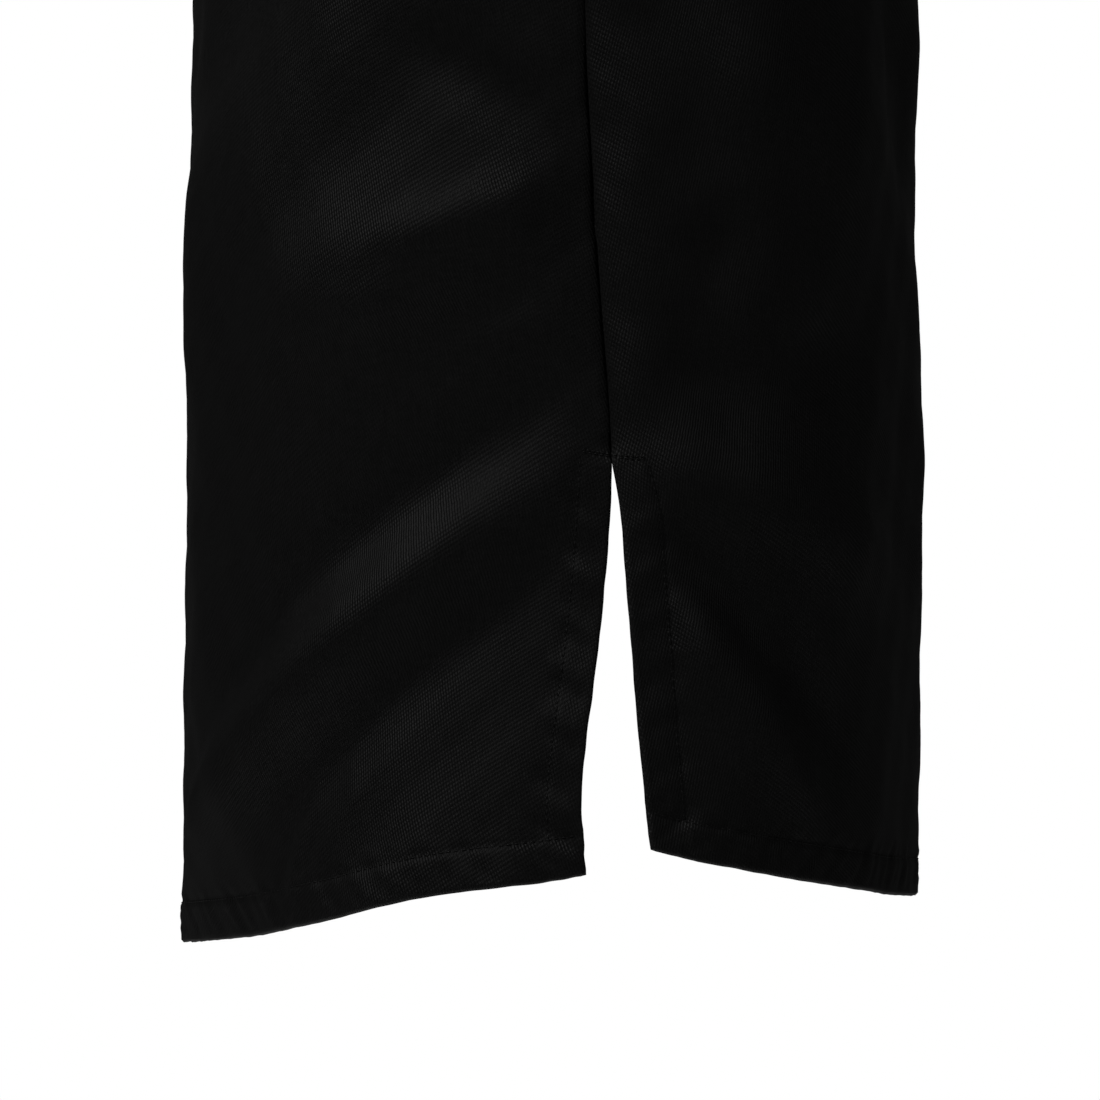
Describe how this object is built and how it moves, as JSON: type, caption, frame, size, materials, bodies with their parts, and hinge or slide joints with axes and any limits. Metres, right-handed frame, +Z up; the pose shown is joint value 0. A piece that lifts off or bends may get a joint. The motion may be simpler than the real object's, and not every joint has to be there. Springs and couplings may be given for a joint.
{
  "type": "chef jacket",
  "caption": "Short-sleeved double-breasted chef jacket with a stand collar, two rows of flat buttons and open side vents, hollow and filled out as if worn.",
  "frame": {"origin": "midway between the two points where the collar meets the shoulder seams, where the jacket hangs on its wearer", "axes": "+Z up, +X towards the wearer's left, -Y towards the front of the jacket"},
  "size_m": [0.6954, 0.2673, 0.8115],
  "materials": {
    "twill": "matte black cotton-blend twill with tone-on-tone topstitching",
    "buttons": "semi-gloss black"
  },
  "bodies": {
    "root": {"front_left": "twill", "front_right": "twill", "back": "twill", "sleeve_left": "twill", "sleeve_right": "twill", "collar": "twill", "button_left_1": "buttons", "button_left_2": "buttons", "button_left_3": "buttons", "button_left_4": "buttons", "button_left_5": "buttons", "button_right_1": "buttons", "button_right_2": "buttons", "button_right_3": "buttons", "button_right_4": "buttons", "button_right_5": "buttons"}
  },
  "joints": []
}
